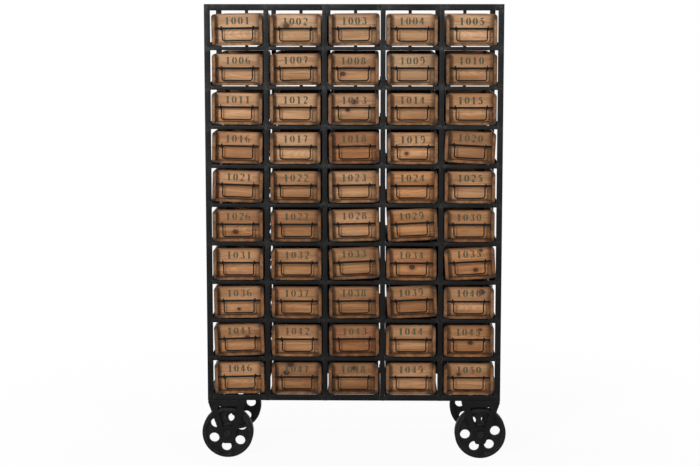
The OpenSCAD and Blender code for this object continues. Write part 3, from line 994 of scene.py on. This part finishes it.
def add_bar(bm, low, high, edge, dice=None, wobble=0.0):
    """A bar between two corners, with rounded edges, lofted along its longest side."""
    size = high - low
    long_axis = max(range(3), key=lambda i: size[i])
    a, b = [i for i in range(3) if i != long_axis]
    spans = max(1, round(size[long_axis] / BAR_SPAN))
    offset = Vector((dice.uniform(-50, 50), 0, 0)) if dice else Vector()

    def place(u, v, t):
        p = [0.0, 0.0, 0.0]
        p[a], p[b], p[long_axis] = low[a] + u, low[b] + v, low[long_axis] + t
        if wobble:
            pull = 0.5 + 0.5 * noise.noise(Vector((t * 9, 0.3, 0.7)) + offset)
            for axis, half, value in ((a, size[a] / 2, u), (b, size[b] / 2, v)):
                p[axis] -= (value - half) / half * pull * wobble
        return Vector(p)

    loft(bm, rectangle(size[a], size[b], edge), rounded_stations(size[long_axis], edge, 2, spans), place)


def add_bead(bm, start, end, radius, dice):
    """A weld bead: a short run of overlapping flattened drops."""
    count = max(2, round((end - start).length / (radius * 0.95)))
    for i in range(count):
        r = radius * dice.uniform(0.8, 1.15)
        centre = start.lerp(end, (i + 0.5) / count) + Vector([dice.uniform(-0.2, 0.2) * r for _ in range(3)])
        drop = bmesh.ops.create_icosphere(bm, subdivisions=1, radius=r)
        bmesh.ops.translate(bm, verts=drop["verts"], vec=centre)


def make_bars(node, material):
    """Round-edged bars in place of a node's plain ones."""
    dice = random.Random(len(node))
    bm = bmesh.new()
    for low, high, _ in islands(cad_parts[node]):
        add_bar(bm, low, high, BAR_EDGE_R, dice, BAR_WOBBLE)
    finish_piece(f"{node}_bars", bm, "frame", material, [node], 50)


def make_runners(material):
    """Angle irons in place of the node's, with rolled roots and soft edges."""
    bm = bmesh.new()
    t, soft, root = RUNNER_T, RUNNER_EDGE_R, RUNNER_ROOT_R
    for low, high, members in islands(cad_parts["bin_runners"]):
        top = [c.x for c in members if c.z > high.z - 1 * MM]
        upright_left = sum(top) / len(top) < (low.x + high.x) / 2
        width, height = high.x - low.x, high.z - low.z
        section = [
            (soft, 0), (width - soft, 0), (width, soft), (width, t - soft), (width - soft, t),
            (t + root, t), (t + 0.3 * root, t + 0.3 * root), (t, t + root),
            (t, height - soft), (t - soft, height), (soft, height), (0, height - soft), (0, soft),
        ]

        def place(a, b, distance):
            x = low.x + a if upright_left else high.x - a
            return Vector((x, low.y + distance, low.z + b))

        loft(bm, section, [(0, 0), (high.y - low.y, 0)], place)
    finish_piece("runner_angles", bm, "frame", material, ["bin_runners"])


def make_welds(material):
    """Weld beads where the rails meet the posts, front and rear."""
    dice = random.Random(WELD_SEED)
    bm = bmesh.new()
    for node, outer in (("front_frame", -1), ("rear_frame", 1)):
        for low, high, _ in islands(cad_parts[node]):
            if high.x - low.x < high.z - low.z:
                continue
            face_y = low.y if outer < 0 else high.y
            bead_y = face_y - outer * BEAD_SUNK
            for x, inward in ((low.x, 1), (high.x, -1)):
                add_bead(
                    bm, Vector((x, bead_y, low.z + BEAD_END)), Vector((x, bead_y, high.z - BEAD_END)), BEAD_R, dice
                )
                is_top_rail = high.z >= cad_high.z - 1 * MM
                if not is_top_rail and dice.random() < BLOB_SHARE:
                    blob = Vector((x + inward * BLOB_IN, face_y - outer * BLOB_BACK, high.z))
                    add_bead(bm, blob, blob + Vector((inward * BLOB_RUN, -outer * BLOB_SLANT, 0)), BLOB_R, dice)
    finish_piece("weld_beads", bm, "frame", material, smooth=80)


# -------- wheels and brackets


def solid_from_outlines(outer, holes, thickness, edge, steps=2):
    """A plate of an outline with holes, with rounded edges, centred on the XY plane, as a bmesh."""
    curve = bpy.data.curves.new("plate", "CURVE")
    curve.dimensions = "2D"
    curve.fill_mode = "BOTH"
    curve.extrude = thickness / 2 - edge
    curve.bevel_depth = edge
    curve.bevel_resolution = steps
    curve.offset = -edge
    for points in [outer, *holes]:
        spline = curve.splines.new("POLY")
        spline.points.add(len(points) - 1)
        for target, (x, y) in zip(spline.points, points):
            target.co = (x, y, 0, 1)
        spline.use_cyclic_u = True
    holder = add_object("plate", curve)
    bm = bmesh.new()
    bm.from_mesh(holder.to_mesh())
    holder.to_mesh_clear()
    bpy.data.objects.remove(holder)
    bpy.data.curves.remove(curve)
    bmesh.ops.remove_doubles(bm, verts=bm.verts, dist=0.02 * MM)
    return bm


def merge(bm, other, matrix):
    """Adds a moved bmesh to another, and frees it."""
    other.transform(matrix)
    mesh = bpy.data.meshes.new("merge")
    other.to_mesh(mesh)
    other.free()
    bm.from_mesh(mesh)
    bpy.data.meshes.remove(mesh)


def add_lathe(bm, half_profile, steps):
    """A closed ring turned about Y, the same on both sides of y = 0, from the (radius, y) points of one side."""
    profile = [(r, -y) for r, y in half_profile] + half_profile[::-1]
    rings = []
    for i in range(steps):
        a = math.tau * i / steps
        rings.append([bm.verts.new((r * math.cos(a), y, r * math.sin(a))) for r, y in profile])
    join_rings(bm, [*rings, rings[0]], ends=False)


def make_wheel(name, material):
    """A cast wheel: crowned tread with a lip, a web with six holes, a filleted hub."""
    low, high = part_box(name)
    middle = (low + high) / 2
    tread_r = middle.z
    rim_r = tread_r - RIM_T
    hub_r = HUB_D / 2
    hub_y = (high.y - low.y) / 2
    tread_y = hub_y - RIM_STEP
    web_y = WEB_T / 2
    bm = bmesh.new()
    add_lathe(bm, [
        (rim_r - RIM_FILLET, web_y), (rim_r - RIM_FILLET / 3, web_y + RIM_FILLET / 3), (rim_r, web_y + RIM_FILLET),
        (rim_r, tread_y - 1.5 * MM), (rim_r + 1.5 * MM, tread_y), (tread_r - TREAD_LIP, tread_y),
        (tread_r - 0.9 * MM, tread_y - 1.1 * MM), (tread_r, tread_y - TREAD_LIP),
    ], RIM_STEPS)
    add_lathe(bm, [
        (AXLE_D / 2 + AXLE_PLAY, hub_y), (hub_r - 2.5 * MM, hub_y), (hub_r - 0.8 * MM, hub_y - 0.8 * MM),
        (hub_r, hub_y - 2.5 * MM), (hub_r + 0.6 * MM, web_y + 3 * MM), (hub_r + 1.6 * MM, web_y + 1 * MM),
        (hub_r + HUB_FILLET, web_y),
    ], HUB_STEPS)
    holes = [circle(x, z, WEB_HOLE_D / 2, 40) for x, z in circle(0, 0, HOLE_CIRCLE_D / 2, HOLES, HOLE_TURNS[name])]
    holes.append(circle(0, 0, hub_r - WEB_IN_HUB, 48))
    web = solid_from_outlines(circle(0, 0, rim_r + WEB_IN_RIM, RIM_STEPS), holes, WEB_T, WEB_EDGE_R, 3)
    merge(bm, web, Matrix.Rotation(math.radians(90), 4, "X"))
    bmesh.ops.translate(bm, verts=bm.verts, vec=middle)
    finish_piece(f"{name}_casting", bm, name, material, [name])


def cheek_outline(half_w, top, axle):
    """A bracket's cheek, of band, taper and rounded foot, and its window."""
    foot_x = FOOT_W / 2 - FOOT_R
    foot_z = axle - FOOT_DROP + FOOT_R
    points = [(half_w, top), (-half_w, top), (-half_w, top - BRACKET_BAND)]
    for cx, start in ((-foot_x, 200), (foot_x, 270)):
        points += arc(cx, foot_z, FOOT_R, FOOT_R, start, start + 70, 7)
    points.append((half_w, top - BRACKET_BAND))
    window = [
        (-WINDOW_LOW_W / 2, axle + WINDOW_RISE), (WINDOW_LOW_W / 2, axle + WINDOW_RISE),
        (WINDOW_TOP_W / 2, top - WINDOW_TOP_DROP), (-WINDOW_TOP_W / 2, top - WINDOW_TOP_DROP),
    ]
    return points, window


def make_brackets(material):
    """Cheeks and top plates in place of the node's, with weld beads between them."""
    dice = random.Random(BRACKET_SEED)
    bm = bmesh.new()
    wheels = [(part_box(n)[0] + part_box(n)[1]) / 2 for n in HOLE_TURNS]
    for low, high, _ in islands(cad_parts["caster_brackets"]):
        size = high - low
        middle = (low + high) / 2
        is_top_plate = size.z < 10 * MM
        if is_top_plate:
            add_bar(bm, low, high, BAR_EDGE_R)
            continue
        wheel = min(wheels, key=lambda c: (c - middle).length)
        outer, window = cheek_outline(size.x / 2, high.z, wheel.z)
        plate = solid_from_outlines(outer, [window], size.y, CHEEK_EDGE_R)
        merge(bm, plate, Matrix.Translation((wheel.x, middle.y, 0)) @ Matrix.Rotation(math.radians(90), 4, "X"))
        outward = -1 if middle.y < wheel.y else 1
        for share in (-0.36, -0.12, 0.12, 0.36):
            start = Vector((wheel.x + share * size.x, middle.y + outward * size.y / 2, high.z - 0.5 * MM))
            add_bead(bm, start, start + Vector((BRACKET_BEAD_RUN, 0, 0)), BRACKET_BEAD_R, dice)
    finish_piece("bracket_cheeks", bm, "frame", material, ["caster_brackets"], 50)


def add_hex(bm, centre, flats, height, turn):
    """A hexagon head or nut along Y, with its corners chamfered."""
    r = flats / 2 / math.cos(math.pi / 6)
    rings = []
    for y, share in ((-0.5, 0.93), (-0.36, 1.0), (0.36, 1.0), (0.5, 0.93)):
        turns = [math.tau * k / 6 + turn for k in range(6)]
        points = [Vector((r * share * math.cos(a), y * height, r * share * math.sin(a))) for a in turns]
        rings.append([bm.verts.new(centre + point) for point in points])
    join_rings(bm, rings)


def make_bolts(material):
    """Axle bolts with chamfered heads, nuts and rounded thread ends."""
    dice = random.Random(BOLT_SEED)
    bm = bmesh.new()
    for low, high, _ in islands(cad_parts["axle_bolts"]):
        size = high - low
        middle = (low + high) / 2
        outward = -1 if middle.y < 0 else 1
        is_nut = size.y < 12 * MM
        if is_nut:
            add_hex(bm, middle, min(size.x, size.z), size.y, dice.uniform(0, 1))
            continue
        inner_y, outer_y = (low.y, high.y) if outward > 0 else (high.y, low.y)
        head = Vector((middle.x, outer_y - outward * BOLT_HEAD_H / 2, middle.z))
        add_hex(bm, head, BOLT_HEAD_W, BOLT_HEAD_H, dice.uniform(0, 1))
        stops = [inner_y + outward * d * MM for d in (0, 1.2, 2.5, 20, 40)] + [outer_y - outward * BOLT_HEAD_H]
        tube(bm, [Vector((middle.x, y, middle.z)) for y in stops], AXLE_D / 2, 24, taper=[0.8, 0.93, 1, 1, 1, 1])
    finish_piece("axle_hardware", bm, "frame", material, ["axle_bolts"], 35)


def make_ironwork():
    """The frame, its welds, the brackets, bolts and wheels, in three irons."""
    iron = iron_material("frame_black_iron", (0.0060, 0.0061, 0.0063), 0.25, 0.42, 0.12 * MM, joints=True)
    weld = iron_material("weld_iron", (0.014, 0.014, 0.014), 0.5, 0.36, 0.15 * MM)
    # the wheels' rubbed edges are strong: wear, with a painted highlight along the rims
    cast = iron_material("cast_wheel_iron", (0.0080, 0.0080, 0.0081), 0.3, 0.44, 0.35 * MM, edge=2.0 * MM, wear_and_highlight=0.9)
    for node in ("front_frame", "rear_frame", "depth_rails"):
        make_bars(node, iron)
    make_runners(iron)
    make_welds(weld)
    make_brackets(iron)
    make_bolts(cast)
    for name in HOLE_TURNS:
        make_wheel(name, cast)


# -------- stage, lights, camera


def make_stage():
    """A wide pale floor."""
    half = 30.0
    mesh = bpy.data.meshes.new("stage_floor")
    mesh.from_pydata([(-half, -half, 0), (half, -half, 0), (half, half, 0), (-half, half, 0)], [], [(0, 1, 2, 3)])
    mesh.materials.append(stage_material("pale_stage", (0.92, 0.92, 0.92, 1), 0.94))
    add_object("stage_floor", mesh)


def make_world():
    """Dim even light, which the camera and reflections see as white."""
    world = bpy.data.worlds.new("studio")
    bpy.context.scene.world = world
    s = Shade(world, "Background")
    s.set("Color", (1, 1, 1, 1))
    s.set("Strength", s.fit(s.seen(), 0.0, 1.0, WORLD_LIGHT, 1.0, smooth=False))


def make_lights():
    """Soft boxes that face the cabinet's axis: name, place, height they point at, width, height, watts."""
    for name, place, target_z, width, height, power in (
        ("left_box", (-1.9, -4.3, 3.0), 1.5, 0.8, 1.7, 150),
        ("right_box", (3.0, -4.2, 2.8), 1.4, 1.6, 2.2, 48),
        ("top_box", (0, 0.9, 4.4), 0, 2.4, 2.0, 46),
        ("rear_left_box", (-3.6, 3.2, 3.0), 1.0, 1.8, 2.0, 45),
        ("rear_right_box", (3.6, 3.2, 3.0), 1.0, 1.8, 2.0, 45),
    ):
        lamp = bpy.data.lights.new(name, "AREA")
        lamp.shape = "RECTANGLE"
        lamp.size = width
        lamp.size_y = height
        lamp.energy = power
        holder = add_object(name, lamp)
        holder.location = place
        holder.rotation_euler = (Vector((0, 0, target_z)) - Vector(place)).to_track_quat("-Z", "Y").to_euler()


def make_camera():
    """The photograph's view from the front."""
    data = bpy.data.cameras.new("camera")
    data.sensor_width = 36
    data.lens = FOCAL_PX * data.sensor_width / PHOTO_W
    data.shift_y = CAMERA_SHIFT
    camera = add_object("camera", data)
    camera.location = (CAMERA_SIDE, cad_low.y - CAMERA_DISTANCE, CAMERA_HEIGHT)
    camera.rotation_euler = (math.radians(90 - CAMERA_TILT), 0, math.radians(CAMERA_TURN))
    bpy.context.scene.camera = camera


# -------- everything

bpy.context.scene.view_settings.view_transform = "Standard"
make_camera()
make_world()
make_lights()
make_stage()
make_bins()
make_ironwork()
